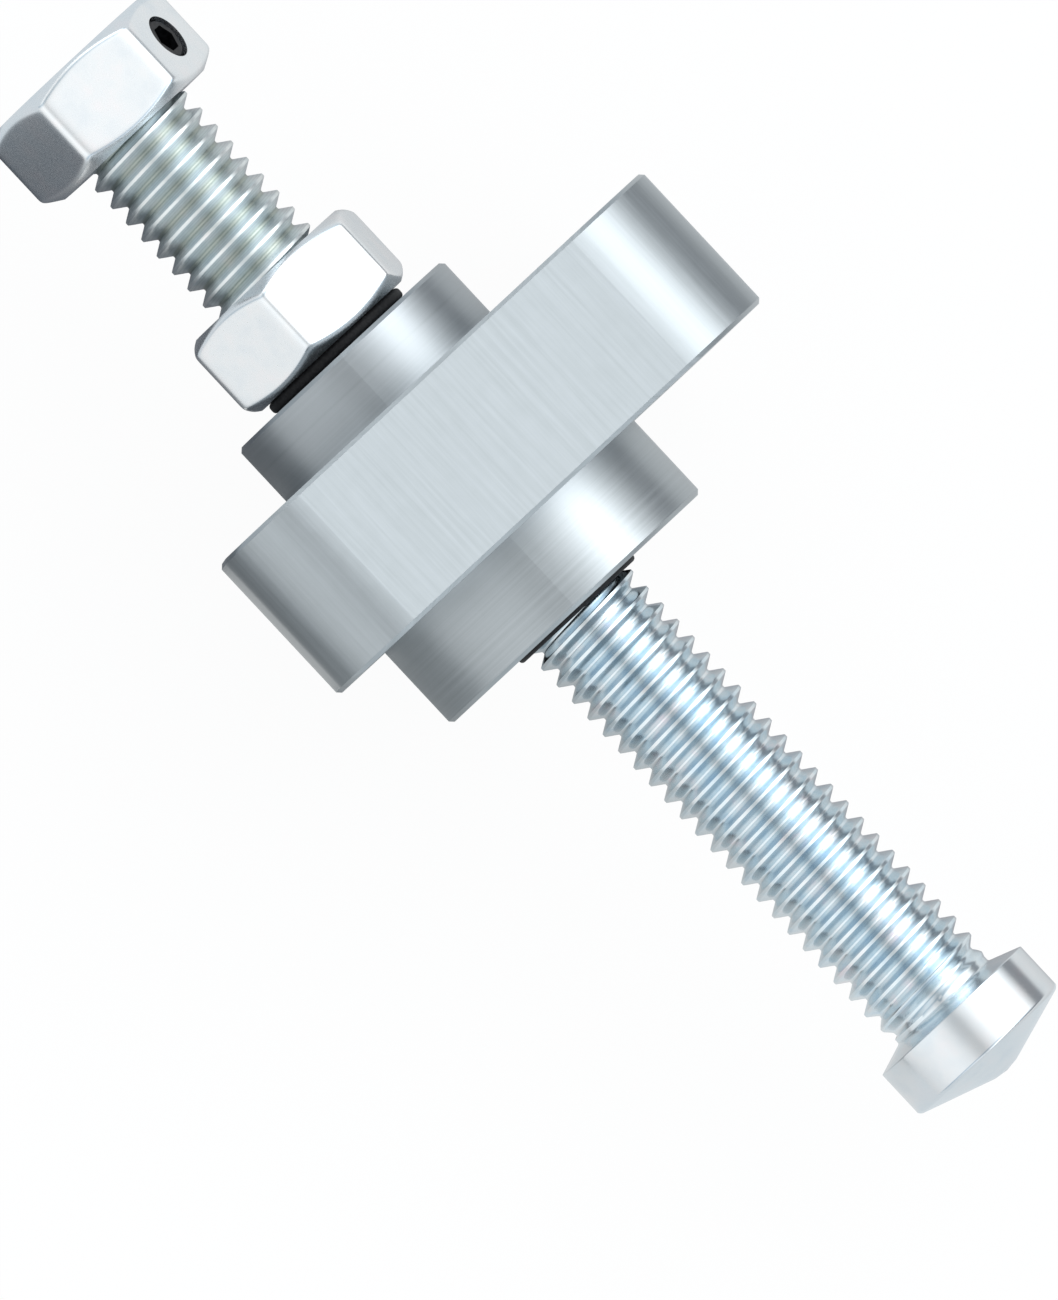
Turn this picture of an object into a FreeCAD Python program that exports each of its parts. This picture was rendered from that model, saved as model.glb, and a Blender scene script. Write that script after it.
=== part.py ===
"""Manual cam chain tensioner: a machined aluminium body that carries a hand-turned adjuster screw.

The body bolts to the back of an engine's cylinder block. Its spigot enters the block, and the foot of
the screw presses on the guide of the cam chain. The hex on the outer end turns the screw, and the lock
nut holds it, with a rubber ring under the nut to keep oil in.

Frame: millimetres, +Z up. The screw axis is X, and +X points from the hex to the foot, into the engine.
The origin is on that axis, in the plane of the flange face that seats on the engine.
"""

import FreeCAD, Part

import math
import os

V = FreeCAD.Vector
ORIGIN = V(0, 0, 0)
AXIS = V(1, 0, 0)

# Screw thread: the shank is modelled at the thread's outer diameter
THREAD_DIAMETER = 9.4
THREAD_CLEARANCE = 0.05
NECK_LENGTH = 0.4
NECK_DEPTH = 0.4
SCREW_END_CHAMFER = 0.8
SCREW_END_RECESS = 0.6

# Screw foot: a round button with a blunt conical face
FOOT_DIAMETER = 13.3
FOOT_SHOULDER = 0.8
FOOT_LENGTH = 3.9
FOOT_CONE_HEIGHT = 2.05
FOOT_TIP_DIAMETER = 2.0
FOOT_TIP_CROWN = 0.12
FOOT_EDGE = 0.25

# How far the screw stands out of the body, on each side
FOOT_REACH = 44.8
HEX_GAP = 13.55

# Hex nuts: the lock nut and the nut that is the screw's head are the same size
NUT_ACROSS_FLATS = 14.29
NUT_THICKNESS = 6.8
NUT_FACE_DIAMETER = 13.4
NUT_CHAMFER_ANGLE = 30.0
NUT_COUNTERSINK = 0.5
NUT_CORNER_ROUND = 0.4
HEAD_NUT_TURN = 4.5
LOCK_NUT_TURN = 21.5

# Set screw that locks the head nut on the screw
SET_SCREW_DIAMETER = 3.5
SET_SCREW_CLEARANCE = 0.04
SET_SCREW_RECESS = 0.2
SET_SCREW_EDGE = 0.25
SOCKET_ACROSS_FLATS = 2.0
SOCKET_DEPTH = 1.3
FLATS_OF_A_HEX = 6

# Body, along the screw
FLANGE_THICKNESS = 12.4
BOSS_DIAMETER = 19.6
BOSS_LENGTH = 5.05
SPIGOT_DIAMETER = 24.0
SPIGOT_LENGTH = 6.9
BODY_CHAMFER = 0.3
BORE_CHAMFER = 0.35

# Flange outline, across the screw: a round hub, two bolt ears and one plain corner
HUB_RADIUS = 16.4
EAR_RADIUS = 6.0
CORNER_RADIUS = 8.5
BOLT_REACH = 18.4
UPPER_BOLT_ANGLE = 122.6
LOWER_BOLT_ANGLE = -41.5
CORNER_REACH = 17.76
CORNER_ANGLE = 27.4
BOLT_HOLE_DIAMETER = 6.4
BOLT_HOLE_CHAMFER = 0.3

# Rubber rings: one squeezed under the lock nut, one in the mouth of the spigot's bore
LOCK_RING_THICKNESS = 0.9
LOCK_RING_WIDTH = 1.35
MOUTH_RING_SECTION = 0.65
MOUTH_RING_PROUD = 0.3
RING_CLEARANCE = 0.15
RING_SEAT_CLEARANCE = 0.05
RING_CORNER = 0.2

# Places along the axis, worked out from the sizes above
THREAD_RADIUS = THREAD_DIAMETER / 2
BORE_RADIUS = THREAD_RADIUS + THREAD_CLEARANCE
RING_BORE_RADIUS = THREAD_RADIUS + RING_CLEARANCE
MOUTH_RING_RADIUS = RING_BORE_RADIUS + MOUTH_RING_SECTION
MOUTH_RING_X = SPIGOT_LENGTH + MOUTH_RING_PROUD - MOUTH_RING_SECTION
FLANGE_OUTER_X = -FLANGE_THICKNESS
BOSS_END_X = FLANGE_OUTER_X - BOSS_LENGTH
LOCK_NUT_SEAT_X = BOSS_END_X - LOCK_RING_THICKNESS
LOCK_NUT_OUTER_X = LOCK_NUT_SEAT_X - NUT_THICKNESS
HEAD_INNER_X = LOCK_NUT_OUTER_X - HEX_GAP
HEAD_OUTER_X = HEAD_INNER_X - NUT_THICKNESS
HEAD_MIDDLE_X = HEAD_INNER_X - NUT_THICKNESS / 2
SCREW_END_X = HEAD_OUTER_X + SCREW_END_RECESS


def turned(profile):
    """A solid of revolution about the screw axis, from a closed profile of (x, radius) points."""
    points = [V(x, 0, radius) for x, radius in profile]
    face = Part.Face(Part.makePolygon(points + points[:1]))
    return face.revolve(ORIGIN, AXIS, 360)


def polar(radius, angle):
    """The (y, z) point at a distance and an angle, in degrees from +Y towards +Z."""
    return radius * math.cos(math.radians(angle)), radius * math.sin(math.radians(angle))


def tangent_angle(start, end):
    """The direction, in radians, of the outward normal of the line that touches two circles (y, z, r)."""
    across = end[0] - start[0]
    up = end[1] - start[1]
    lean = math.asin((start[2] - end[2]) / math.hypot(across, up))
    return math.atan2(up, across) - math.pi / 2 + lean


def on_circle(circle, angle, x):
    """The point of a circle (y, z, r) at an angle in radians, in the plane at x."""
    y, z, radius = circle
    return V(x, y + radius * math.cos(angle), z + radius * math.sin(angle))


def belt_face(circles, x):
    """The face inside a belt stretched round circles (y, z, r) that are listed anticlockwise."""
    count = len(circles)
    normals = [tangent_angle(circles[i], circles[(i + 1) % count]) for i in range(count)]
    edges = []
    for i in range(count):
        arrive = normals[i - 1]
        leave = arrive + (normals[i] - arrive) % (2 * math.pi)
        corner = [on_circle(circles[i], angle, x) for angle in (arrive, (arrive + leave) / 2, leave)]
        edges.append(Part.Arc(*corner).toShape())
        next_start = on_circle(circles[(i + 1) % count], normals[i], x)
        edges.append(Part.LineSegment(corner[2], next_start).toShape())
    return Part.Face(Part.Wire(edges))


def round_bore(radius, start_x, end_x, chamfer):
    """The tool that bores a hole on the screw axis and breaks its edge at both ends."""
    return turned([
        (start_x - chamfer, 0),
        (start_x - chamfer, radius + 2 * chamfer),
        (start_x + chamfer, radius),
        (end_x - chamfer, radius),
        (end_x + chamfer, radius + 2 * chamfer),
        (end_x + chamfer, 0),
    ])


def flange():
    """The thick flange plate, with its bolt holes and with every outer edge chamfered."""
    ears = [polar(BOLT_REACH, angle) for angle in (LOWER_BOLT_ANGLE, UPPER_BOLT_ANGLE)]
    corner = polar(CORNER_REACH, CORNER_ANGLE)
    circles = [(0, 0, HUB_RADIUS), (*ears[0], EAR_RADIUS), (*corner, CORNER_RADIUS), (*ears[1], EAR_RADIUS)]
    plate = belt_face(circles, FLANGE_OUTER_X).extrude(V(FLANGE_THICKNESS, 0, 0))
    rims = [edge for face in plate.Faces if abs(face.normalAt(0, 0).x) > 0.5 for edge in face.Edges]
    plate = plate.makeChamfer(BODY_CHAMFER, rims)
    drill = round_bore(BOLT_HOLE_DIAMETER / 2, FLANGE_OUTER_X, 0, BOLT_HOLE_CHAMFER)
    for y, z in ears:
        plate = plate.cut(drill.translated(V(0, y, z)))
    return plate


def body():
    """The one-piece body: flange, boss under the lock nut, and spigot that enters the engine."""
    boss_radius = BOSS_DIAMETER / 2
    spigot_radius = SPIGOT_DIAMETER / 2
    core = turned([
        (BOSS_END_X, 0),
        (BOSS_END_X, boss_radius - BODY_CHAMFER),
        (BOSS_END_X + BODY_CHAMFER, boss_radius),
        (FLANGE_OUTER_X + BODY_CHAMFER, boss_radius),
        (FLANGE_OUTER_X + BODY_CHAMFER, spigot_radius),
        (SPIGOT_LENGTH - BODY_CHAMFER, spigot_radius),
        (SPIGOT_LENGTH, spigot_radius - BODY_CHAMFER),
        (SPIGOT_LENGTH, 0),
    ])
    seat_radius = MOUTH_RING_RADIUS + RING_SEAT_CLEARANCE
    ring_seat = turned([
        (MOUTH_RING_X, 0),
        (MOUTH_RING_X, seat_radius),
        (SPIGOT_LENGTH + BODY_CHAMFER, seat_radius),
        (SPIGOT_LENGTH + BODY_CHAMFER, 0),
    ])
    bore = round_bore(BORE_RADIUS, BOSS_END_X, MOUTH_RING_X, BORE_CHAMFER)
    return flange().fuse(core).cut(bore.fuse(ring_seat)).removeSplitter()


def adjuster_screw():
    """The screw: shank, plain neck where the thread runs out, and a foot turned on its inner end."""
    neck_radius = THREAD_RADIUS - NECK_DEPTH
    foot_radius = FOOT_DIAMETER / 2
    foot_start = FOOT_REACH + FOOT_SHOULDER
    foot_end = foot_start + FOOT_LENGTH
    tip_radius = FOOT_TIP_DIAMETER / 2
    cone_share = (foot_radius - FOOT_EDGE - tip_radius) / (foot_radius - FOOT_EDGE)
    tip_x = foot_end + FOOT_CONE_HEIGHT * cone_share
    return turned([
        (SCREW_END_X, 0),
        (SCREW_END_X, THREAD_RADIUS - SCREW_END_CHAMFER),
        (SCREW_END_X + SCREW_END_CHAMFER, THREAD_RADIUS),
        (FOOT_REACH - NECK_LENGTH - NECK_DEPTH, THREAD_RADIUS),
        (FOOT_REACH - NECK_LENGTH, neck_radius),
        (FOOT_REACH, neck_radius),
        (foot_start, foot_radius),
        (foot_end - FOOT_EDGE, foot_radius),
        (foot_end, foot_radius - FOOT_EDGE),
        (tip_x, tip_radius),
        (tip_x + FOOT_TIP_CROWN, 0),
    ])


def hex_corner_radius(across_flats):
    """How far the corners of a hexagon lie from its centre."""
    return across_flats / 2 / math.cos(math.pi / FLATS_OF_A_HEX)


def hex_prism(across_flats, start_x, length, turn):
    """A hexagonal bar along the screw axis. One flat faces +Z, then leans by turn degrees towards +Y."""
    corner_radius = hex_corner_radius(across_flats)
    corner_step = 360 / FLATS_OF_A_HEX
    corners = [polar(corner_radius, corner_step * i - turn) for i in range(FLATS_OF_A_HEX)]
    points = [V(start_x, y, z) for y, z in corners]
    return Part.Face(Part.makePolygon(points + points[:1])).extrude(V(length, 0, 0))


def hex_nut(start_x, turn):
    """A hex nut chamfered on both ends, which leaves an arc at the end of each flat."""
    end_x = start_x + NUT_THICKNESS
    face_radius = NUT_FACE_DIAMETER / 2
    corner_radius = hex_corner_radius(NUT_ACROSS_FLATS)
    drop = (corner_radius - face_radius) * math.tan(math.radians(NUT_CHAMFER_ANGLE))
    envelope = turned([
        (start_x, 0),
        (start_x, face_radius),
        (start_x + drop, corner_radius),
        (end_x - drop, corner_radius),
        (end_x, face_radius),
        (end_x, 0),
    ])
    bar = hex_prism(NUT_ACROSS_FLATS, start_x, NUT_THICKNESS, turn)
    corners = [edge for edge in bar.Edges if abs(edge.tangentAt(edge.FirstParameter).x) > 0.5]
    blank = bar.makeFillet(NUT_CORNER_ROUND, corners).common(envelope)
    return blank.cut(round_bore(BORE_RADIUS, start_x, end_x, NUT_COUNTERSINK))


def lock_nut():
    """The nut that clamps the screw in the body."""
    return hex_nut(LOCK_NUT_OUTER_X, LOCK_NUT_TURN)


def at_head_flat(tool):
    """Moves a piece made along the screw axis to the flat of the head nut that holds the set screw."""
    flat_angle = 90 - HEAD_NUT_TURN - 360 / FLATS_OF_A_HEX
    moved = tool.copy()
    moved.rotate(ORIGIN, V(0, 1, 0), -90)
    moved.rotate(ORIGIN, AXIS, flat_angle - 90)
    moved.translate(V(HEAD_MIDDLE_X, 0, 0))
    return moved


def head_nut():
    """The nut on the outer end of the screw, with a radial hole for its set screw."""
    hole_radius = SET_SCREW_DIAMETER / 2 + SET_SCREW_CLEARANCE
    hole = Part.makeCylinder(hole_radius, NUT_ACROSS_FLATS, ORIGIN, AXIS)
    return hex_nut(HEAD_OUTER_X, HEAD_NUT_TURN).cut(at_head_flat(hole))


def set_screw():
    """A headless screw with a hex socket, whose flat point bears on the adjuster screw."""
    radius = SET_SCREW_DIAMETER / 2
    point_x = math.hypot(BORE_RADIUS, radius)
    outer_x = NUT_ACROSS_FLATS / 2 - SET_SCREW_RECESS
    shank = turned([
        (point_x, 0),
        (point_x, radius - SET_SCREW_EDGE),
        (point_x + SET_SCREW_EDGE, radius),
        (outer_x - SET_SCREW_EDGE, radius),
        (outer_x, radius - SET_SCREW_EDGE),
        (outer_x, 0),
    ])
    socket = hex_prism(SOCKET_ACROSS_FLATS, outer_x - SOCKET_DEPTH, SOCKET_DEPTH + SET_SCREW_RECESS, 0)
    return at_head_flat(shank.cut(socket))


def rubber_ring(start_x, thickness, width):
    """A rubber ring round the screw, whose section has its corners eased off."""
    end_x = start_x + thickness
    outer = RING_BORE_RADIUS + width
    return turned([
        (start_x, RING_BORE_RADIUS + RING_CORNER),
        (start_x, outer - RING_CORNER),
        (start_x + RING_CORNER, outer),
        (end_x - RING_CORNER, outer),
        (end_x, outer - RING_CORNER),
        (end_x, RING_BORE_RADIUS + RING_CORNER),
        (end_x - RING_CORNER, RING_BORE_RADIUS),
        (start_x + RING_CORNER, RING_BORE_RADIUS),
    ])


def lock_ring():
    """The oil seal squeezed between the lock nut and the boss."""
    return rubber_ring(LOCK_NUT_SEAT_X, LOCK_RING_THICKNESS, LOCK_RING_WIDTH)


def mouth_ring():
    """The seal in the mouth of the bore, which stands a little proud of the spigot's end."""
    return rubber_ring(MOUTH_RING_X, MOUTH_RING_SECTION, MOUTH_RING_SECTION)


PIECES = (body, adjuster_screw, head_nut, set_screw, lock_nut, lock_ring, mouth_ring)

os.makedirs("parts", exist_ok=True)
for make in PIECES:
    solid = make()
    solid.exportStep(f"parts/{make.__name__}.step")
    print(make.__name__, len(solid.Solids), solid.isValid(), round(solid.Volume, 2))
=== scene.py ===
# %% [markdown]
# # A cam chain tensioner, dressed for a picture
# A tensioner like this is bolted to the back of an engine. Its screw pushes on the guide of the cam chain,
# and a lock nut holds the setting. The solids are loaded as a fixed frame, so every piece that is made here
# has a place waiting for it, in metres, on the same axes: X runs along the screw and Z points up.

import math

import bmesh
import bpy
import numpy as np
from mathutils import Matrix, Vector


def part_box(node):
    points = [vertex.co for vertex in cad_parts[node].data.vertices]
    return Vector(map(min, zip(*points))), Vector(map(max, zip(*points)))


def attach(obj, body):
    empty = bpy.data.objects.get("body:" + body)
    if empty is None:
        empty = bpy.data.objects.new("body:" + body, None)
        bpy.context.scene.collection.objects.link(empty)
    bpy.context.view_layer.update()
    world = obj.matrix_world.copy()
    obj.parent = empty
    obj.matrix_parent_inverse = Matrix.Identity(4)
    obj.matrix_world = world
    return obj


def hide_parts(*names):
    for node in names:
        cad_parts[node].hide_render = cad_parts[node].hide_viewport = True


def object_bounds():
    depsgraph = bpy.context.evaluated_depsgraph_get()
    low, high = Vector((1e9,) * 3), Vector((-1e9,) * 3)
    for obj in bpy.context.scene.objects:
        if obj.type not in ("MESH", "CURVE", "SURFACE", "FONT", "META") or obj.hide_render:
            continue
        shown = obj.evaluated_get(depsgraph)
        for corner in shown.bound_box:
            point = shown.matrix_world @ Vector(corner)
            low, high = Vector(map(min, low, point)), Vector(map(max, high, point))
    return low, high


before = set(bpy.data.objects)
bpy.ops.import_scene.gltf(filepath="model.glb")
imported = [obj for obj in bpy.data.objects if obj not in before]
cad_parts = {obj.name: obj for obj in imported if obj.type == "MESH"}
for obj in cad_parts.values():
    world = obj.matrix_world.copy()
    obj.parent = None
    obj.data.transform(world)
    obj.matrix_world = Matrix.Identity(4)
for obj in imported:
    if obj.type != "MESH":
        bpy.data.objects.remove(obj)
cad_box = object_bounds()
MM = 0.001
print("nodes:", sorted(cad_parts))
print("box in mm:", [[round(v / MM, 2) for v in corner] for corner in cad_box])

# %% [markdown]
# ## The camera
# The picture is taken from straight above with a long lens, so parallel edges stay parallel. The screw
# crosses the frame from the upper left to the lower right, which is a turn of the camera about its own line
# of sight. A long lens far away is chosen over an orthographic camera, because it keeps a trace of real
# perspective.

# %% Place the camera
SCREW_SLOPE = 47.0
VIEW_CENTRE = (6.77 * MM, -4.43 * MM)
VIEW_HEIGHT = 91.5 * MM
CAMERA_HEIGHT = 3.3
SENSOR = 36.0

scene = bpy.context.scene
scene.view_settings.view_transform = "Standard"
camera_data = bpy.data.cameras.new("camera")
camera_data.sensor_width = SENSOR
camera_data.lens = SENSOR * CAMERA_HEIGHT / VIEW_HEIGHT
camera = bpy.data.objects.new("camera", camera_data)
camera.location = (*VIEW_CENTRE, CAMERA_HEIGHT)
camera.rotation_euler = (0, 0, math.radians(SCREW_SLOPE))
scene.collection.objects.link(camera)
scene.camera = camera
print("lens in mm:", round(camera_data.lens, 1))

# %% [markdown]
# ## Helpers for node trees
# Every finish below is a tree of shader nodes. Written out one node at a time, such a tree is long and hard
# to read. So a few helpers each add one node, set or link its inputs, and return the socket that comes next.


# %% Add nodes and link them
def add_node(tree, kind, settings=None, **sockets):
    """Adds a node, sets its properties from settings, and sets or links its inputs from sockets by name."""
    node = tree.nodes.new(kind)
    for key, value in (settings or {}).items():
        setattr(node, key, value)
    for key, value in sockets.items():
        set_input(tree, node, key.replace("_", " "), value)
    return node


def set_input(tree, node, key, value):
    """Gives an input a number, a colour or a link. The key is the socket's name or its place in the list."""
    socket = node.inputs[key]
    if isinstance(value, bpy.types.NodeSocket):
        tree.links.new(value, socket)
    else:
        socket.default_value = value


def math_node(tree, operation, *values):
    """A Math node on numbers or sockets. Returns its output socket."""
    node = add_node(tree, "ShaderNodeMath", {"operation": operation})
    for place, value in enumerate(values):
        set_input(tree, node, place, value)
    return node.outputs[0]


def split_vector(tree, kind):
    """The X, Y and Z sockets of a texture coordinate such as Object, Normal or Generated."""
    source = add_node(tree, "ShaderNodeTexCoord").outputs[kind]
    return add_node(tree, "ShaderNodeSeparateXYZ", Vector=source).outputs


def map_range(tree, value, low, high, to_low=0.0, to_high=1.0):
    """Carries low..high over to to_low..to_high in a straight line, and stops at both ends."""
    node = add_node(tree, "ShaderNodeMapRange", Value=value)
    limits = (("From Min", low), ("From Max", high), ("To Min", to_low), ("To Max", to_high))
    for key, limit in limits:
        set_input(tree, node, key, limit)
    return node.outputs[0]


# %% Ramps and mixes
def ramp_node(tree, factor, stops):
    """A colour ramp from (position, colour) stops. Returns its colour socket."""
    node = add_node(tree, "ShaderNodeValToRGB", Fac=factor)
    elements = node.color_ramp.elements
    while len(elements) < len(stops):
        elements.new(1.0)
    for element, (position, colour) in zip(elements, stops):
        element.position = position
        element.color = (*colour, 1.0)
    return node.outputs["Color"]


def grey_stops(stops):
    """Turns (position, level) stops into the (position, colour) stops of a ramp."""
    return [(position, (level, level, level)) for position, level in stops]


def mix_colours(tree, factor, first, second, blend="MIX"):
    """A Mix node on two colours. Returns its colour socket."""
    node = add_node(tree, "ShaderNodeMix", {"data_type": "RGBA", "blend_type": blend}, Factor=factor)
    for place, value in ((6, first), (7, second)):
        set_input(tree, node, place, value)
    return node.outputs[2]


def shade(tree, factor, colour, tint):
    """The colour times the tint where factor is 1, and the colour alone where it is 0."""
    return mix_colours(tree, factor, colour, tint, "MULTIPLY")


def mix_shaders(tree, factor, first, second):
    """A Mix Shader node on two shader nodes. Returns its shader socket."""
    node = add_node(tree, "ShaderNodeMixShader", Fac=factor)
    for place, shader_node in ((1, first), (2, second)):
        set_input(tree, node, place, shader_node.outputs[0])
    return node.outputs[0]


# %% [markdown]
# ## The floor
# The background is plain white. The floor is a real pale surface that catches a soft shadow, and for the
# camera it is mostly lifted to white. Metal mirrors the floor as well. With a white floor in that mirror, the
# bright plated pieces, such as the foot and the flats of the nuts, fade into the background. So the floor has
# two looks: the camera sees white, and rays that bounce off metal see the tones that the next step sets.

# %% Lay the floor
FLOOR_GAP = 0.3 * MM
FLOOR_SIZE = 3.0

floor_z = cad_box[0][2] - FLOOR_GAP
half = FLOOR_SIZE / 2
floor_mesh = bpy.data.meshes.new("floor")
corners = [(x, y, floor_z) for x, y in ((-half, -half), (half, -half), (half, half), (-half, half))]
floor_mesh.from_pydata(corners, [], [(0, 1, 2, 3)])
floor = bpy.data.objects.new("floor", floor_mesh)
scene.collection.objects.link(floor)
print("floor at z =", round(floor_z / MM, 2), "mm")

# %% [markdown]
# Left of the screw, the floor that metal sees goes from nearly black at the head to pale at the foot, which
# is a painted shadow that shows only in reflections. On the right it is grey near the screw, pale in a strip
# a few
# centimetres out, and grey again beyond: painted shade and a painted pool of light, also only in reflections.
# Three pale patches then pick out edges as painted reflections: beyond the foot for its cone, beyond the
# head for the chamfer of its nut, and beside the flange for its round rim.

# %% Tones on either side of the screw
# Share of the part's length from head to foot, and the painted shadow left of the screw there, seen in
# reflections
DARK_SIDE = [
    (0.00, (0.02, 0.03, 0.045)), (0.16, (0.14, 0.15, 0.17)), (0.35, (0.20, 0.21, 0.22)),
    (0.60, (0.42, 0.44, 0.45)), (1.00, (0.80, 0.82, 0.83)),
]
# Share of the reach to the right of the screw, and the tone there: painted shade near the screw, then a
# painted pool of light, then painted shade again, all seen in reflections
LAMP_SIDE = [
    (0.00, (0.26, 0.26, 0.28)), (0.02, (0.42, 0.43, 0.45)), (0.04, (0.70, 0.72, 0.73)),
    (0.08, (0.82, 0.84, 0.85)), (0.13, (0.82, 0.84, 0.85)), (0.18, (0.26, 0.27, 0.29)),
    (1.00, (0.26, 0.27, 0.29)),
]
LAMP_SIDE_REACH = 0.4

pale = bpy.data.materials.new("pale_floor")
pale.use_nodes = True
tree = pale.node_tree
tree.nodes.clear()
place = split_vector(tree, "Object")
along = map_range(tree, place["X"], cad_box[0][0], cad_box[1][0])
across = math_node(tree, "DIVIDE", place["Y"], LAMP_SIDE_REACH)
dark_tone = ramp_node(tree, along, DARK_SIDE)
lamp_tone = ramp_node(tree, across, LAMP_SIDE)
on_lamp_side = math_node(tree, "GREATER_THAN", place["Y"], 0.0)
seen = mix_colours(tree, on_lamp_side, dark_tone, lamp_tone)
print("floor tones:", len(DARK_SIDE), "on the dark side,", len(LAMP_SIDE), "on the lamp side")

# %% Three pale patches
# Painted reflections, seen only by metal, that light the foot's cone, the head nut's chamfer and the flange's
# rim
BEYOND_FOOT = (0.74, 0.79, 0.82, 1.0)
BEYOND_FOOT_X = (49.4 * MM, 50.4 * MM)
BEYOND_FOOT_WIDTH = 14.0 * MM
BEYOND_HEAD = (0.66, 0.71, 0.75, 1.0)
BEYOND_HEAD_X = (-48.0 * MM, -52.0 * MM)
BESIDE_RIM = (0.86, 0.86, 0.85, 1.0)
BESIDE_RIM_X = (-12.2 * MM, -0.2 * MM)
BESIDE_RIM_Y = (-31.0 * MM, -16.4 * MM)


def inside(tree, value, low, high):
    """1 where the value lies between low and high, and 0 elsewhere."""
    above = math_node(tree, "GREATER_THAN", value, low)
    below = math_node(tree, "LESS_THAN", value, high)
    return math_node(tree, "MULTIPLY", above, below)


past_foot = map_range(tree, place["X"], *BEYOND_FOOT_X)
near_foot = math_node(tree, "LESS_THAN", place["Y"], BEYOND_FOOT_WIDTH)
seen = mix_colours(tree, math_node(tree, "MULTIPLY", past_foot, near_foot), seen, BEYOND_FOOT)
past_head = map_range(tree, place["X"], *BEYOND_HEAD_X)
seen = mix_colours(tree, past_head, seen, BEYOND_HEAD)
rim_along = inside(tree, place["X"], *BESIDE_RIM_X)
rim_across = inside(tree, place["Y"], *BESIDE_RIM_Y)
seen = mix_colours(tree, math_node(tree, "MULTIPLY", rim_along, rim_across), seen, BESIDE_RIM)
patch_starts = (BEYOND_FOOT_X[0], BEYOND_HEAD_X[0], BESIDE_RIM_X[0])
print("patches start at x =", [round(x / MM, 1) for x in patch_starts], "mm")

# %% White for the camera, tones for the metal
FLOOR_COLOUR = (0.9, 0.9, 0.9, 1.0)
WHITE = (1.0, 1.0, 1.0, 1.0)
LIFT_FOR_CAMERA = 0.94
SEEN_BY_METAL = 0.95

paths = add_node(tree, "ShaderNodeLightPath").outputs
glints = math_node(tree, "MAXIMUM", paths["Is Glossy Ray"], paths["Is Transmission Ray"])
tone = mix_colours(tree, paths["Is Camera Ray"], seen, WHITE)
lift = math_node(tree, "MULTIPLY", paths["Is Camera Ray"], LIFT_FOR_CAMERA)
lift = math_node(tree, "MULTIPLY_ADD", glints, SEEN_BY_METAL, lift)
matte = add_node(tree, "ShaderNodeBsdfDiffuse", Color=FLOOR_COLOUR)
glow = add_node(tree, "ShaderNodeEmission", Color=tone, Strength=1.0)
add_node(tree, "ShaderNodeOutputMaterial", Surface=mix_shaders(tree, lift, matte, glow))
floor_mesh.materials.append(pale)
print("floor material:", pale.name)

# %% [markdown]
# ## The studio light
# Bare metal shows its surroundings more than its own colour. A turned cylinder that is seen from above
# mirrors the room in a strip from one side to the other: a point whose surface leans by an angle shows the
# room at twice that angle. So the room is drawn as soft bands round the screw axis: a bright panel to the
# right of the lens, a narrow dark gap at the lens, and a large pale panel on the left. Towards both ends of
# the screw the room has a dim blue band, which the flanks of the thread mirror, so that they stand out from
# crest and root. The camera sees plain white in place of the room. One soft lamp on the right adds a little
# light with a direction.

# %% Draw the room
# Angle from straight up towards +Y in degrees, and the brightness of the room there
ROOM_BANDS = [
    (-180, 0.30), (-100, 0.70), (-76, 0.94), (-55, 1.08), (-37, 1.12), (-22, 1.00), (-10, 0.70),
    (-2, 0.62), (6, 0.92), (16, 1.22), (25, 1.50), (36, 2.30), (60, 2.30), (71, 1.60), (85, 0.85),
    (95, 0.25), (180, 0.25),
]
ROOM_PEAK = 2.3
ROOM_TINT = np.array((0.985, 1.0, 1.01))
# Share of the way from the head end of the room to the foot end, and the tint there
END_FALL = [
    (0.00, (1.0, 1.0, 1.0)), (0.08, (0.85, 0.88, 0.90)), (0.18, (0.43, 0.525, 0.60)),
    (0.36, (1.0, 1.0, 1.0)), (0.64, (1.0, 1.0, 1.0)), (0.82, (0.44, 0.55, 0.65)),
    (0.92, (0.85, 0.90, 0.94)), (1.00, (0.90, 0.95, 0.98)),
]

world = bpy.data.worlds.new("studio")
world.use_nodes = True
scene.world = world
tree = world.node_tree
tree.nodes.clear()
direction = split_vector(tree, "Generated")
turn = math_node(tree, "ARCTAN2", direction["Y"], direction["Z"])
turn_share = math_node(tree, "MULTIPLY_ADD", turn, 0.5 / math.pi, 0.5)
stops = [(0.5 + angle / 360, tuple(level / ROOM_PEAK * ROOM_TINT)) for angle, level in ROOM_BANDS]
bands = ramp_node(tree, turn_share, stops)
end_share = math_node(tree, "MULTIPLY_ADD", direction["X"], 0.5, 0.5)
colour = shade(tree, 1.0, bands, ramp_node(tree, end_share, END_FALL))
room = add_node(tree, "ShaderNodeBackground", Color=colour, Strength=ROOM_PEAK)
white = add_node(tree, "ShaderNodeBackground", Color=WHITE, Strength=1.0)
paths = add_node(tree, "ShaderNodeLightPath").outputs
add_node(tree, "ShaderNodeOutputWorld", Surface=mix_shaders(tree, paths["Is Camera Ray"], room, white))
print("room bands:", len(ROOM_BANDS))

# %% Hang the lamp
KEY_POWER = 0.5
KEY_SIZE = 0.4
KEY_DISTANCE = 0.8
KEY_TILT = 52.0

key_data = bpy.data.lights.new("key", "AREA")
key_data.energy = KEY_POWER
key_data.size = KEY_SIZE
key = bpy.data.objects.new("key", key_data)
tilt = math.radians(KEY_TILT)
key.location = (0, KEY_DISTANCE * math.sin(tilt), KEY_DISTANCE * math.cos(tilt))
key.rotation_euler = (-tilt, 0, 0)
scene.collection.objects.link(key)
print("lamp at", [round(v, 2) for v in key.location], "m")

# %% [markdown]
# ## From arrays to a mesh
# Every new piece is a grid of points, worked out as one array: rows along the piece, columns round the axis.
# The first helper joins neighbours into faces. A screw thread climbs as it goes round, so its last column
# meets the first one some rows further on, and the helper takes that climb as a number.


# %% Grid helpers
MERGE_DISTANCE = 1e-6
SHORTEST_EDGE = 1e-7


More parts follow.
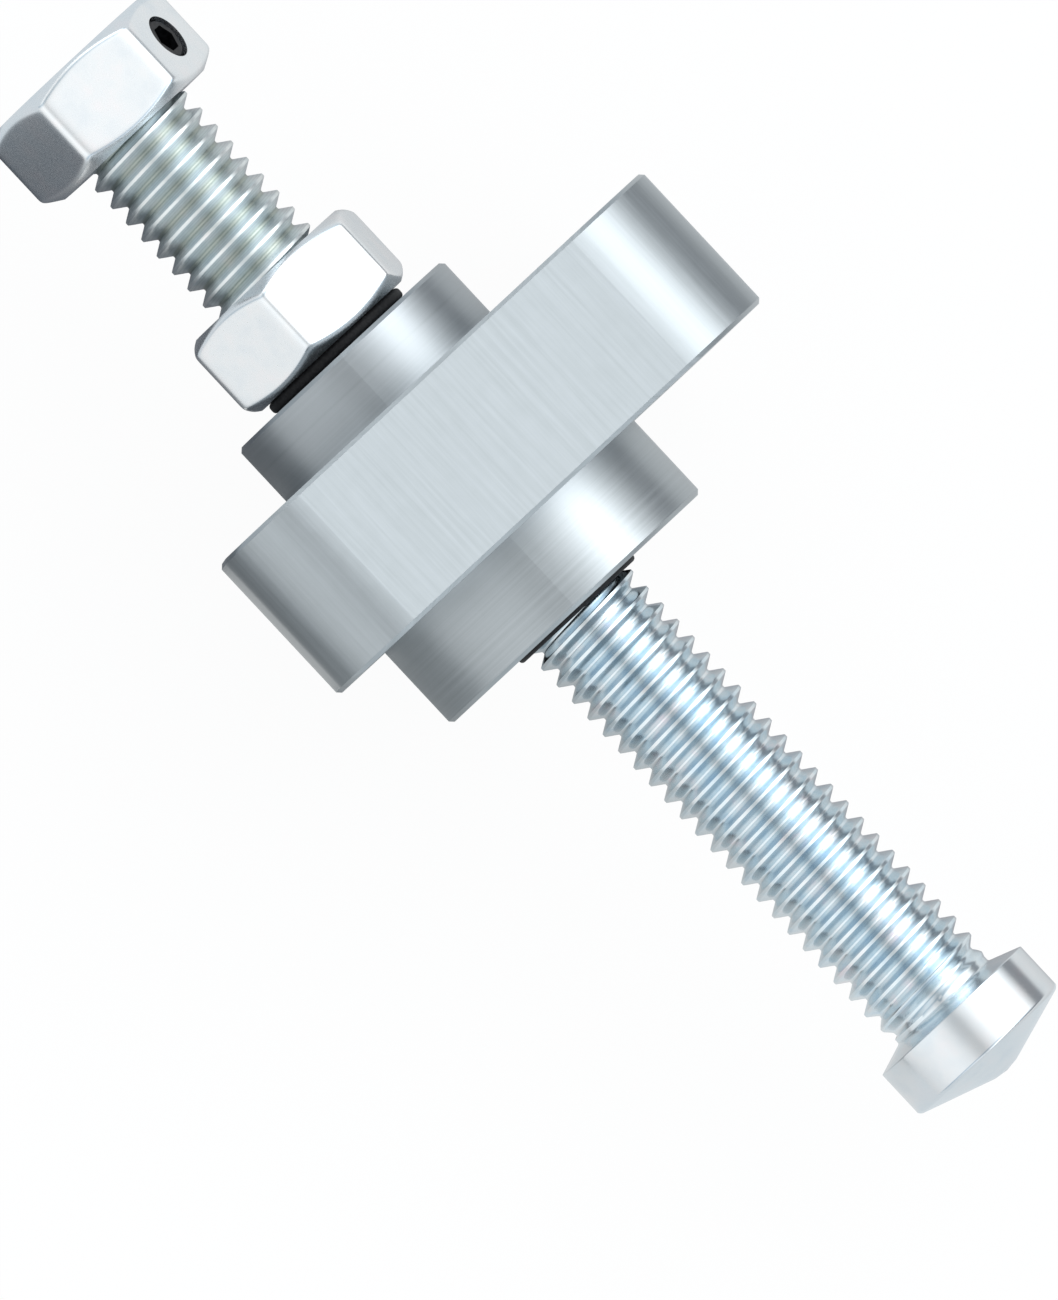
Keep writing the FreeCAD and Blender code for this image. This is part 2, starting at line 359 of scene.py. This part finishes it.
def grid_faces(rows, columns, climb=0, closed_rows=False):
    """Quads of a grid that closes round its columns. Past the last column, row i meets row i + climb."""
    count = rows if closed_rows else rows - 1
    i, j = np.meshgrid(np.arange(count), np.arange(columns), indexing="ij")
    step = np.where(j == columns - 1, climb, 0)
    after = (j + 1) % columns

    def index(row, column):
        row = row % rows if closed_rows else np.minimum(row, rows - 1)
        return row * columns + column

    quads = [index(i, j), index(i + step, after), index(i + 1 + step, after), index(i + 1, j)]
    return np.stack(quads, axis=-1).reshape(-1, 4)


def make_piece(name, points, faces, smooth_below):
    """An object at the origin, from points in mm. Edges below smooth_below degrees look smooth."""
    mesh = bpy.data.meshes.new(name)
    mesh.from_pydata((points.reshape(-1, 3) * MM).tolist(), [], faces.tolist())
    tidy = bmesh.new()
    tidy.from_mesh(mesh)
    bmesh.ops.remove_doubles(tidy, verts=tidy.verts, dist=MERGE_DISTANCE)
    bmesh.ops.dissolve_degenerate(tidy, edges=tidy.edges, dist=SHORTEST_EDGE)
    bmesh.ops.recalc_face_normals(tidy, faces=tidy.faces)
    tidy.to_mesh(mesh)
    tidy.free()
    mesh.polygons.foreach_set("use_smooth", np.ones(len(mesh.polygons), dtype=bool))
    mesh.set_sharp_from_angle(angle=math.radians(smooth_below))
    piece = bpy.data.objects.new(name, mesh)
    scene.collection.objects.link(piece)
    print(name, "has", len(mesh.vertices), "points and", len(mesh.polygons), "faces")
    return piece


# %% [markdown]
# ## The adjuster screw
# The screw is the piece that the eye goes to: a coarse right-hand thread over its whole length, which fades
# out into a plain neck, and a round foot with a blunt conical face. A stack of rings would be quicker, but a
# ring never leads anywhere, and a nut can't run along it. So the grid is laid along the helix itself: each
# row keeps its place in the profile of the thread, and climbs by one pitch in one turn.

# %% Carry the thread profile along a helix
PITCH = 25.4 / 16
CREST_RADIUS = 4.7
THREAD_DEPTH = 0.86
SCREW_END, SCREW_TIP = (corner[0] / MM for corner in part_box("adjuster_screw"))
END_CHAMFER = 0.8
NECK_START = 44.4
NECK_RADIUS = 4.3
FADE_START = 41.8
FADE_LEAVES = 0.35
COLUMNS = 96

# One turn of the profile: place along the pitch, and height from root 0 to crest 1
PROFILE = np.array([
    (0.00, 0.96), (0.02, 1.00), (0.16, 1.00), (0.18, 0.96),
    (0.31, 0.60), (0.44, 0.22), (0.51, 0.03), (0.55, 0.00),
    (0.63, 0.00), (0.67, 0.03), (0.74, 0.22), (0.87, 0.60),
])


def thread_grid():
    """Rows of a helix: x is the pitch times the sum of turn, place in the profile and share of a turn.

    The radius is the crest less the depth times what the height lacks of 1, and both fade to the neck.
    """
    turns = math.ceil((NECK_START - SCREW_END) / PITCH) + 2
    place = (np.arange(turns)[:, None] + PROFILE[None, :, 0]).ravel()
    height = np.tile(PROFILE[:, 1], turns)
    angle = np.arange(COLUMNS) / COLUMNS * 2 * np.pi
    x = SCREW_END - PITCH + PITCH * (place[:, None] + angle[None, :] / (2 * np.pi))
    fade = np.clip((x - FADE_START) / (NECK_START - FADE_START), 0, 1)
    crest = CREST_RADIUS - (CREST_RADIUS - NECK_RADIUS) * fade ** 2
    depth = THREAD_DEPTH * (1 - (1 - FADE_LEAVES) * fade)
    radius = crest - depth * (1 - height[:, None])
    chamfer = CREST_RADIUS - END_CHAMFER + np.maximum(x - SCREW_END, 0)
    radius = np.minimum(radius, chamfer)
    radius = np.where(x >= NECK_START, NECK_RADIUS, radius)
    radius = np.where(x <= SCREW_END, CREST_RADIUS - END_CHAMFER, radius)
    return np.clip(x, SCREW_END, NECK_START), radius, angle


thread_x, thread_r, angle = thread_grid()
print("thread rows:", thread_x.shape[0], "for", round((NECK_START - SCREW_END) / PITCH, 1), "turns")

# %% [markdown]
# The foot is turned on the end of the same bar, so it is the same surface: a profile of points along the
# axis, spun round in as many columns as the thread has. A lathe tool leaves no perfectly sharp edge, so each
# corner of the profile is replaced by a short curve before it is spun.


# %% Round the corners of a profile
# A curve takes up at most this share of the shorter side at its corner
CURVE_SHARE = 0.45


def round_corners(profile, size, steps=4):
    """Replaces each inner corner of a line of (x, radius) points by a parabola that starts size before it."""
    profile = np.asarray(profile, dtype=float)
    corner = profile[1:-1]
    back = profile[:-2] - corner
    ahead = profile[2:] - corner
    back_length = np.linalg.norm(back, axis=1, keepdims=True)
    ahead_length = np.linalg.norm(ahead, axis=1, keepdims=True)
    reach = np.minimum(size, np.minimum(back_length, ahead_length) * CURVE_SHARE)
    first = corner + back / back_length * reach
    last = corner + ahead / ahead_length * reach
    t = np.linspace(0, 1, steps)[None, :, None]
    bends = (1 - t) ** 2 * first[:, None] + 2 * t * (1 - t) * corner[:, None] + t ** 2 * last[:, None]
    return np.concatenate([profile[:1], bends.reshape(-1, 2), profile[-1:]])


# %% Add the foot and close the ends
FOOT_START = 44.80
FOOT_RADIUS = 6.65
SHOULDER_EDGE = (45.60, 6.60)
FOOT_BACK_X = 45.66
FOOT_FRONT_X = 49.30
CONE_EDGE = (49.52, 6.42)
TIP_RADIUS = 1.00
TIP_CROWN = 0.12
FOOT_EDGE_ROUND = 0.12
SCREW_SMOOTH = 40

foot_profile = [
    (NECK_START, NECK_RADIUS), (FOOT_START, NECK_RADIUS), SHOULDER_EDGE, (FOOT_BACK_X, FOOT_RADIUS),
    (FOOT_FRONT_X, FOOT_RADIUS), CONE_EDGE, (SCREW_TIP - TIP_CROWN, TIP_RADIUS), (SCREW_TIP, 0.00),
]
foot = round_corners(foot_profile, FOOT_EDGE_ROUND)
foot_x = np.repeat(foot[1:, :1], COLUMNS, axis=1)
foot_r = np.repeat(foot[1:, 1:], COLUMNS, axis=1)
end_x = np.full((1, COLUMNS), SCREW_END)
screw_x = np.concatenate([end_x, thread_x, foot_x])
screw_r = np.concatenate([end_x * 0, thread_r, foot_r])
screw_points = np.stack([screw_x, screw_r * np.cos(angle), screw_r * np.sin(angle)], axis=-1)

rows = len(thread_x)
thread_faces = grid_faces(rows, COLUMNS, climb=len(PROFILE)) + COLUMNS
start_faces = grid_faces(2, COLUMNS)
foot_faces = grid_faces(len(foot_x) + 1, COLUMNS) + COLUMNS * rows
screw_faces = np.concatenate([start_faces, thread_faces, foot_faces])
screw = make_piece("threaded_screw", screw_points, screw_faces, SCREW_SMOOTH)
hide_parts("adjuster_screw")
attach(screw, "drive_head")

# %% [markdown]
# ## The hex nuts
# A nut is a hexagon whose corners are cut back by a cone at each end, and the cut leaves an arc at the end of
# every flat. Seen as a radius, the surface is the least of eight: six planes and two cones. A power mean with
# a large power takes that least value and rounds every edge a little, as a tumbled and plated nut is rounded,
# so no bevel is needed.

# %% Shape a nut as the least of eight surfaces
ACROSS_FLATS = 14.29
NUT_THICKNESS = 6.8
NUT_FACE_RADIUS = 6.7
NUT_CHAMFER = 30
NUT_SLOPE = math.tan(math.radians(NUT_CHAMFER))
NUT_BORE = 4.75
NUT_COUNTERSINK = 0.5
EDGE_SHARPNESS = 42
FACE_INSET = 0.15
# A plane that is nearly edge-on is left at this cosine, far outside the nut
LEAST_COSINE = 0.1
NUT_COLUMNS = 540
NUT_ROWS = 72


def least(radii):
    """The power mean of radii with a large negative power: nearly the least, with a rounded change-over."""
    base = np.minimum.reduce(radii)
    total = sum((base / radius) ** EDGE_SHARPNESS for radius in radii)
    return base * total ** (-1 / EDGE_SHARPNESS)


def nut_grid(start_x, lean):
    """A closed loop of rows: along the flats, in over one end, back through the bore, out over the other.

    On the flats the radius is the least of six planes, half the width over a cosine, and two cones.
    """
    around = np.arange(NUT_COLUMNS) / NUT_COLUMNS * 2 * np.pi
    along = NUT_THICKNESS * (0.5 - 0.5 * np.cos(np.linspace(0, np.pi, NUT_ROWS)))[:, None]
    flats = math.pi / 2 - math.radians(lean) + np.arange(6) * math.pi / 3
    cosines = [np.maximum(np.cos(around - flat), LEAST_COSINE) for flat in flats]
    planes = [ACROSS_FLATS / 2 / cosine + 0 * along for cosine in cosines]
    cones = [NUT_FACE_RADIUS + depth / NUT_SLOPE + 0 * around for depth in (along, NUT_THICKNESS - along)]
    side = least(planes + cones)
    mouth = NUT_BORE + NUT_COUNTERSINK
    half_loop = np.array([
        (NUT_THICKNESS, NUT_FACE_RADIUS - FACE_INSET),
        (NUT_THICKNESS, mouth + FACE_INSET),
        (NUT_THICKNESS, mouth),
        (NUT_THICKNESS - NUT_COUNTERSINK, NUT_BORE),
    ])
    other_half = half_loop[::-1] * (-1, 1) + (NUT_THICKNESS, 0)
    inner = np.concatenate([half_loop, other_half])
    radius = np.concatenate([side, inner[:, 1:] + 0 * around])
    x = start_x + np.concatenate([along, inner[:, :1]]) + 0 * around
    return np.stack([x, radius * np.cos(around), radius * np.sin(around)], axis=-1)


# %% Make both nuts
NUT_SMOOTH = 50
HEAD_LEAN = 4.5
LOCK_LEAN = 21.5


def make_nut(name, node, start_x, lean):
    """Builds a nut that stands for a node, with one flat that leans from straight up by lean degrees."""
    points = nut_grid(start_x, lean)
    nut = make_piece(name, points, grid_faces(*points.shape[:2], closed_rows=True), NUT_SMOOTH)
    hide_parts(node)
    return nut


head_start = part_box("head_nut")[0][0] / MM
lock_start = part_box("lock_nut")[0][0] / MM
head_nut = make_nut("hex_head", "head_nut", head_start, HEAD_LEAN)
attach(head_nut, "drive_head")
lock_nut = make_nut("hex_lock", "lock_nut", lock_start, LOCK_LEAN)
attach(lock_nut, "lock_collar")

# %% [markdown]
# The head nut is kept from turning on the screw by a small set screw, which sits in a hole drilled through
# one flat. A hole across a grid would need a new grid, so it is cut with a Boolean modifier, and the result
# is kept.

# %% Drill the head nut
HOLE_RADIUS = 1.79
HOLE_COLUMNS = 64
HOLE_START = 3.0
HOLE_END = 9.0
NEXT_FLAT = 60
HOLE_SMOOTH = 30


def tube_points(start, end, radius, columns, turn):
    """Rows of a closed cylinder along Z: pole, ring, ring and pole, leaned about X by turn degrees."""
    around = np.arange(columns) / columns * 2 * np.pi
    reach = np.array((0, radius, radius, 0))[:, None]
    x = reach * np.cos(around)
    y = reach * np.sin(around)
    z = np.array((start, start, end, end))[:, None] + 0 * around
    lean = math.radians(turn)
    leaned_y = y * math.cos(lean) + z * math.sin(lean)
    leaned_z = z * math.cos(lean) - y * math.sin(lean)
    return np.stack([x, leaned_y, leaned_z], axis=-1)


hole_points = tube_points(HOLE_START, HOLE_END, HOLE_RADIUS, HOLE_COLUMNS, HEAD_LEAN + NEXT_FLAT)
hole_points[..., 0] += head_start + NUT_THICKNESS / 2
drill = make_piece("drill", hole_points, grid_faces(*hole_points.shape[:2]), HOLE_SMOOTH)
cut = head_nut.modifiers.new("set_screw_hole", "BOOLEAN")
cut.object = drill
cut.operation = "DIFFERENCE"
cut.solver = "EXACT"
evaluated = head_nut.evaluated_get(bpy.context.evaluated_depsgraph_get())
drilled = bpy.data.meshes.new_from_object(evaluated)
head_nut.modifiers.clear()
head_nut.data = drilled
drilled.set_sharp_from_angle(angle=math.radians(NUT_SMOOTH))
bpy.data.objects.remove(drill)
print("head nut after drilling:", len(drilled.polygons), "faces")

# %% [markdown]
# ## The rubber rings
# One ring is squeezed between the lock nut and the boss until it bulges, the other sits in the mouth of the
# bore. A squeezed round ring has flat ends and swollen sides, which is a super-ellipse: the power in its
# formula sets how square the section is.

# %% Make the rubber rings
RING_COLUMNS = 160
RING_STEPS = 28
RING_INNER = 4.85
RING_SMOOTH = 60
LOCK_RING_POWER = 3.2
MOUTH_RING_POWER = 2.2


def ring_grid(box, inner, power):
    """A super-ellipse spun round X: centre plus half size times sign(c) * |c| ** (2 / power).

    Along the axis c is the cosine of the angle in the section, and outwards it is the sine.
    """
    low_x, high_x = box[0][0] / MM, box[1][0] / MM
    outer = box[1][1] / MM
    t = np.arange(RING_STEPS) / RING_STEPS * 2 * np.pi
    across = np.sign(np.cos(t)) * np.abs(np.cos(t)) ** (2 / power)
    up = np.sign(np.sin(t)) * np.abs(np.sin(t)) ** (2 / power)
    x = ((low_x + high_x) / 2 + (high_x - low_x) / 2 * across)[:, None]
    radius = ((inner + outer) / 2 + (outer - inner) / 2 * up)[:, None]
    around = np.arange(RING_COLUMNS) / RING_COLUMNS * 2 * np.pi
    return np.stack([x + 0 * around, radius * np.cos(around), radius * np.sin(around)], axis=-1)


rings = {}
for name, node, body, power in (
    ("lock_seal_ring", "lock_ring", "lock_seal", LOCK_RING_POWER),
    ("mouth_seal_ring", "mouth_ring", "housing", MOUTH_RING_POWER),
):
    points = ring_grid(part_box(node), RING_INNER, power)
    ring_faces = grid_faces(RING_STEPS, RING_COLUMNS, closed_rows=True)
    rings[name] = make_piece(name, points, ring_faces, RING_SMOOTH)
    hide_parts(node)
    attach(rings[name], body)

# %% [markdown]
# ## Tool marks
# A lathe leaves fine grooves round a turned face, and a milling cutter leaves fine lines along a milled one.
# Both are drawn as noise that changes in one direction only. For turning it follows the distance along the
# axis, or the radius on a face that looks along the axis. For milling it changes across the screw and hardly
# along it. Two metals and several pieces use them, so they live in one node group.

# %% Group helpers
PER_MM = 1 / MM
# A face looks along the axis where the X part of its normal is larger than this
END_FACE = 0.6


def new_group(name, inputs, outputs):
    """A shader node group with number inputs and named outputs. Returns the tree and its two end nodes."""
    group = bpy.data.node_groups.new(name, "ShaderNodeTree")
    for label, default in inputs:
        socket = group.interface.new_socket(label, in_out="INPUT", socket_type="NodeSocketFloat")
        socket.default_value = default
    for label, kind in outputs:
        group.interface.new_socket(label, in_out="OUTPUT", socket_type=kind)
    return group, group.nodes.new("NodeGroupInput"), group.nodes.new("NodeGroupOutput")


def axis_distance(tree, place):
    """Distance from the screw axis: the root of y squared plus z squared."""
    flat_point = add_node(tree, "ShaderNodeCombineXYZ", Y=place["Y"], Z=place["Z"])
    length = add_node(tree, "ShaderNodeVectorMath", {"operation": "LENGTH"})
    set_input(tree, length, 0, flat_point.outputs[0])
    return length.outputs["Value"]


def mix_values(tree, factor, first, second):
    """A Mix node on two numbers. Returns its number socket."""
    node = add_node(tree, "ShaderNodeMix", {"data_type": "FLOAT"}, Factor=factor, A=first, B=second)
    return node.outputs[0]


# %% Tool mark group
# Milled lines change this much along the screw for one step across it
MILLED_ALONG = 0.03
CLOUD_SHARE = 0.2
CLOUDS_PER_LINE = 0.25


def tool_mark_group():
    """Height and tone of tool marks: noise of x or of the radius where turned, of y and z where milled."""
    group, given, result = new_group(
        "tool_marks",
        [("Lines per mm", 3.0), ("Milled", 0.0)],
        [("Height", "NodeSocketFloat"), ("Tone", "NodeSocketFloat")],
    )
    place = split_vector(group, "Object")
    steep = math_node(group, "ABSOLUTE", split_vector(group, "Normal")["X"])
    end_face = math_node(group, "GREATER_THAN", steep, END_FACE)
    run = mix_values(group, end_face, place["X"], axis_distance(group, place))
    density = math_node(group, "MULTIPLY", given.outputs["Lines per mm"], PER_MM)
    groove = math_node(group, "MULTIPLY", run, density)
    turned = add_node(
        group, "ShaderNodeTexNoise", {"noise_dimensions": "1D"},
        W=groove, Scale=1.0, Detail=3.0, Roughness=0.7,
    )
    slow_density = math_node(group, "MULTIPLY", density, MILLED_ALONG)
    stretch = add_node(group, "ShaderNodeCombineXYZ")
    for key, factor in (("X", slow_density), ("Y", density), ("Z", density)):
        set_input(group, stretch, key, math_node(group, "MULTIPLY", place[key], factor))
    milled = add_node(
        group, "ShaderNodeTexNoise",
        Vector=stretch.outputs[0], Scale=1.0, Detail=3.0, Roughness=0.65,
    )
    height = mix_values(group, given.outputs["Milled"], turned.outputs[0], milled.outputs[0])
    set_input(group, result, "Height", height)
    cloud_scale = math_node(group, "MULTIPLY", density, CLOUDS_PER_LINE)
    source = add_node(group, "ShaderNodeTexCoord").outputs["Object"]
    cloud = add_node(group, "ShaderNodeTexNoise", Vector=source, Scale=cloud_scale, Detail=2.0)
    lines = math_node(group, "MULTIPLY", height, 1 - CLOUD_SHARE)
    set_input(group, result, "Tone", math_node(group, "MULTIPLY_ADD", cloud.outputs[0], CLOUD_SHARE, lines))
    return group


tool_marks = tool_mark_group()
print("group:", tool_marks.name, [item.name for item in tool_marks.interface.items_tree])

# %% [markdown]
# ## Machined aluminium
# The body is cut from one bar. Its boss and spigot are turned, its rim is milled along the screw, and nothing
# is polished. So the metal is satin: a clear but soft reflection that the tool marks break into streaks. The
# mask that tells rim from round parts comes from the piece's own coordinates: the rim lies on the flange,
# outside the spigot, and doesn't look along the axis. The boss is a little darker than the rest.


# %% Helpers for finishes
def new_finish(name, colour, metallic=1.0):
    """A material of one plain colour, bare metal by default. Returns it, its tree and its Principled node."""
    material = bpy.data.materials.new(name)
    material.use_nodes = True
    shader = material.node_tree.nodes["Principled BSDF"]
    shader.inputs["Metallic"].default_value = metallic
    shader.inputs["Base Color"].default_value = (*colour, 1.0)
    return material, material.node_tree, shader


def add_bump(tree, shader, height, depth):
    """Feeds a height from 0 to 1, which is depth metres deep, to the shader's normal."""
    bump = add_node(tree, "ShaderNodeBump", Strength=1.0, Distance=depth, Height=height)
    set_input(tree, shader, "Normal", bump.outputs["Normal"])


def add_marks(tree, lines, milled=0.0):
    """Places the tool mark group with its own density of lines and its own share of milling."""
    marks = add_node(tree, "ShaderNodeGroup", {"node_tree": tool_marks}, Lines_per_mm=lines, Milled=milled)
    return marks.outputs


# %% Machined aluminium
SPIGOT_RADIUS = 12.05 * MM
BOSS_ROOT = -12.41 * MM
BOSS_SHADE = (0.88, 0.88, 0.89, 1.0)
ALUMINIUM_TINTS = [(0.3, (0.405, 0.440, 0.455)), (0.7, (0.475, 0.510, 0.530))]
ALUMINIUM_ROUGH = (0.28, 0.42)
RIM_DULLER = 0.06
ALUMINIUM_LINES = 3.0
ALUMINIUM_DEPTH = 2.0e-6

aluminium, tree, shader = new_finish("machined_aluminium", (0.80, 0.84, 0.86))
place = split_vector(tree, "Object")
steep = math_node(tree, "ABSOLUTE", split_vector(tree, "Normal")["X"])
outside = math_node(tree, "GREATER_THAN", axis_distance(tree, place), SPIGOT_RADIUS)
sideways = math_node(tree, "LESS_THAN", steep, END_FACE)
rim = math_node(tree, "MULTIPLY", outside, sideways)
marks = add_marks(tree, ALUMINIUM_LINES, rim)
# The boss's colour is darkened by a painted shade that tones down its highlight
boss = math_node(tree, "LESS_THAN", place["X"], BOSS_ROOT)
tint = shade(tree, boss, ramp_node(tree, marks["Tone"], ALUMINIUM_TINTS), BOSS_SHADE)
set_input(tree, shader, "Base Color", tint)
rough = map_range(tree, marks["Tone"], 0.0, 1.0, *ALUMINIUM_ROUGH)
set_input(tree, shader, "Roughness", math_node(tree, "MULTIPLY_ADD", rim, RIM_DULLER, rough))
add_bump(tree, shader, marks["Height"], ALUMINIUM_DEPTH)
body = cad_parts["body"]
body.data.materials.clear()
body.data.materials.append(aluminium)
print("aluminium is on", body.name)

# %% [markdown]
# ## Bright zinc plate
# The screw and the nuts are steel with a thin coat of zinc. The coat is bright, a little cloudy, and its
# clear passivation film gives faint blue, straw and pink tints that drift over the surface. The tints come
# from slow noise through a colour ramp, the cloudiness from finer noise in the roughness.

# %% Zinc plate group
NEUTRAL_TINTS = [(0.30, (0.86, 0.89, 0.91)), (0.50, (0.90, 0.92, 0.93)), (0.70, (0.93, 0.925, 0.93))]
BLUE_TINTS = [
    (0.30, (0.66, 0.78, 0.86)), (0.48, (0.76, 0.85, 0.89)), (0.62, (0.82, 0.86, 0.88)),
    (0.72, (0.89, 0.84, 0.88)),
]
CLOUDINESS = 0.12
CLOUDS_PER_PATCH = 12.0


def plating_group():
    """Colour and roughness of zinc plate: slow noise picks the tint, fine noise the cloudiness."""
    group, given, result = new_group(
        "zinc_plating",
        [("Patches per mm", 0.5), ("Dullness", 0.25), ("Blue", 0.2)],
        [("Color", "NodeSocketColor"), ("Roughness", "NodeSocketFloat")],
    )
    source = add_node(group, "ShaderNodeTexCoord").outputs["Object"]
    slow = math_node(group, "MULTIPLY", given.outputs["Patches per mm"], PER_MM)
    drift = add_node(group, "ShaderNodeTexNoise", Vector=source, Scale=slow, Detail=3.0, Roughness=0.6)
    neutral = ramp_node(group, drift.outputs[0], NEUTRAL_TINTS)
    blue = ramp_node(group, drift.outputs[0], BLUE_TINTS)
    set_input(group, result, "Color", mix_colours(group, given.outputs["Blue"], neutral, blue))
    fine = math_node(group, "MULTIPLY", slow, CLOUDS_PER_PATCH)
    cloud = add_node(group, "ShaderNodeTexNoise", Vector=source, Scale=fine, Detail=4.0, Roughness=0.6)
    least_rough = math_node(group, "SUBTRACT", given.outputs["Dullness"], CLOUDINESS / 2)
    rough = math_node(group, "MULTIPLY_ADD", cloud.outputs[0], CLOUDINESS, least_rough)
    set_input(group, result, "Roughness", rough)
    return group


zinc_plating = plating_group()


def zinc_material(name, lines, depth):
    """Zinc plate with its own tool marks. Returns the material, its plating and its marks."""
    material, tree, shader = new_finish(name, (0.9, 0.92, 0.93))
    plate = add_node(tree, "ShaderNodeGroup", {"node_tree": zinc_plating})
    set_input(tree, shader, "Base Color", plate.outputs["Color"])
    set_input(tree, shader, "Roughness", plate.outputs["Roughness"])
    marks = add_marks(tree, lines)
    add_bump(tree, shader, marks["Height"], depth)
    return material, plate, marks


print("group:", zinc_plating.name, [item.name for item in zinc_plating.interface.items_tree])

# %% [markdown]
# The plate isn't the same all along the screw. Between the nuts it is duller, with fine streaks and a painted
# shade in the root of the thread. Below the body it is bright and blue, and the foot is plain again, with a
# painted shade that makes it a little darker. So each of these follows a ramp along the screw. The steep
# flanks of the thread are also a little darker than its crest, which is painted shade as well.

# %% Zinc along the screw
# Share of the screw's length from its head end, how blue and dull the plate is there, and its tint, with a
# painted shade on the foot
BLUE_ALONG = [(0.0, 0.15), (0.35, 0.25), (0.55, 1.00), (0.92, 1.00), (0.95, 0.10)]
DULL_ALONG = [(0.0, 0.32), (0.32, 0.30), (0.52, 0.17), (1.0, 0.17)]
TINT_AND_SHADE_ALONG = [
    (0.00, (0.98, 1.0, 0.98)), (0.30, (0.98, 1.0, 0.98)), (0.50, (1.0, 1.0, 1.0)),
    (0.92, (1.0, 1.0, 1.0)), (0.95, (0.86, 0.87, 0.88)),
]
SCREW_LINES = 4.0
SCREW_DEPTH = 0.8e-6

screw_zinc, plate, marks = zinc_material("zinc_screw", SCREW_LINES, SCREW_DEPTH)
tree = screw_zinc.node_tree
place = split_vector(tree, "Object")
along = map_range(tree, place["X"], SCREW_END * MM, SCREW_TIP * MM)
set_input(tree, plate, "Blue", ramp_node(tree, along, grey_stops(BLUE_ALONG)))
set_input(tree, plate, "Dullness", ramp_node(tree, along, grey_stops(DULL_ALONG)))
# A slight tint between the nuts, and a painted shade that makes the foot a little darker
colour = shade(tree, 1.0, plate.outputs["Color"], ramp_node(tree, along, TINT_AND_SHADE_ALONG))
print("plate along the screw from x =", round(SCREW_END, 2), "to", round(SCREW_TIP, 2), "mm")

# %% Flanks, roots and streaks of the thread
# Share of the screw's length again, and how strong the painted shade on the flanks is there, or that of
# the painted shade in the root and of the streaks
FLANK_ALONG = [(0.0, 0.0), (0.01, 0.35), (0.92, 0.35), (0.93, 0.0)]
UPPER_ALONG = [(0.0, 0.0), (0.01, 1.0), (0.38, 1.0), (0.55, 0.0)]
FLANK_SHADE = (0.78, 0.80, 0.82, 1.0)
FLANK_STEEPNESS = (0.2, 0.5)
ROOT_SHADE = (0.46, 0.49, 0.45, 1.0)
ROOT_RADIUS = CREST_RADIUS - THREAD_DEPTH
ROOT_REACH = 0.17
STREAKS = [(0.36, 0.84), (0.62, 1.0)]

# Painted shade on the steep flanks of the thread
steep = math_node(tree, "ABSOLUTE", split_vector(tree, "Normal")["X"])
flank = map_range(tree, steep, *FLANK_STEEPNESS)
flank = math_node(tree, "MULTIPLY", flank, ramp_node(tree, along, grey_stops(FLANK_ALONG)))
colour = shade(tree, flank, colour, FLANK_SHADE)
# Painted shade in the root of the thread between the nuts, darkest at the root
root = map_range(tree, axis_distance(tree, place), (ROOT_RADIUS + ROOT_REACH) * MM, ROOT_RADIUS * MM)
upper = ramp_node(tree, along, grey_stops(UPPER_ALONG))
colour = shade(tree, math_node(tree, "MULTIPLY", root, upper), colour, ROOT_SHADE)
colour = shade(tree, upper, colour, ramp_node(tree, marks["Tone"], grey_stops(STREAKS)))
set_input(tree, tree.nodes["Principled BSDF"], "Base Color", colour)
screw.data.materials.append(screw_zinc)
print("zinc is on", screw.name)

# %% Zinc on the nuts
NUT_DULL = 0.26
NUT_BLUE = 0.12
NUT_LINES = 2.0
NUT_DEPTH = 0.15e-6

nut_zinc, plate, _ = zinc_material("zinc_nut", NUT_LINES, NUT_DEPTH)
for key, value in (("Dullness", NUT_DULL), ("Blue", NUT_BLUE)):
    set_input(nut_zinc.node_tree, plate, key, value)
for nut in (head_nut, lock_nut):
    nut.data.materials.clear()
    nut.data.materials.append(nut_zinc)
print("zinc is on", head_nut.name, lock_nut.name)

# %% [markdown]
# ## Black oxide and rubber
# The set screw is blackened steel: dark, a little oily, with a grainy sheen. The rings are plain black rubber
# with a fine moulded grain. Both are one recipe with different numbers, so they share a function.

# %% Dark finishes
DARK_SPECULAR = 0.2
DARKEST_BELOW = 0.35
LIGHTEST_ABOVE = 0.7
OXIDE_METALLIC = 0.7
OXIDE_TONES = ((0.006, 0.006, 0.007), (0.022, 0.022, 0.024))
OXIDE_ROUGH = (0.22, 0.40)
RUBBER_TONES = ((0.008, 0.008, 0.009), (0.022, 0.022, 0.023))
RUBBER_ROUGH = (0.45, 0.70)


def dark_material(name, metallic, tones, rough_range, grain, depth):
    """A near-black finish whose tone, roughness and height all follow one noise of grain per mm."""
    material, tree, shader = new_finish(name, tones[0], metallic)
    shader.inputs["Specular IOR Level"].default_value = DARK_SPECULAR
    source = add_node(tree, "ShaderNodeTexCoord").outputs["Object"]
    noise = add_node(tree, "ShaderNodeTexNoise", Vector=source, Scale=grain * PER_MM, Detail=4.0).outputs[0]
    stops = [(DARKEST_BELOW, tones[0]), (LIGHTEST_ABOVE, tones[1])]
    set_input(tree, shader, "Base Color", ramp_node(tree, noise, stops))
    set_input(tree, shader, "Roughness", map_range(tree, noise, 0.0, 1.0, *rough_range))
    add_bump(tree, shader, noise, depth)
    return material


black_oxide = dark_material(
    "black_oxide", OXIDE_METALLIC, OXIDE_TONES, OXIDE_ROUGH, grain=3.0, depth=2e-6
)
rubber = dark_material("black_rubber", 0.0, RUBBER_TONES, RUBBER_ROUGH, grain=5.0, depth=6e-6)
set_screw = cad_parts["set_screw"]
set_screw.data.materials.clear()
set_screw.data.materials.append(black_oxide)
for ring in rings.values():
    ring.data.materials.append(rubber)
print("dark finishes on", set_screw.name, sorted(rings))
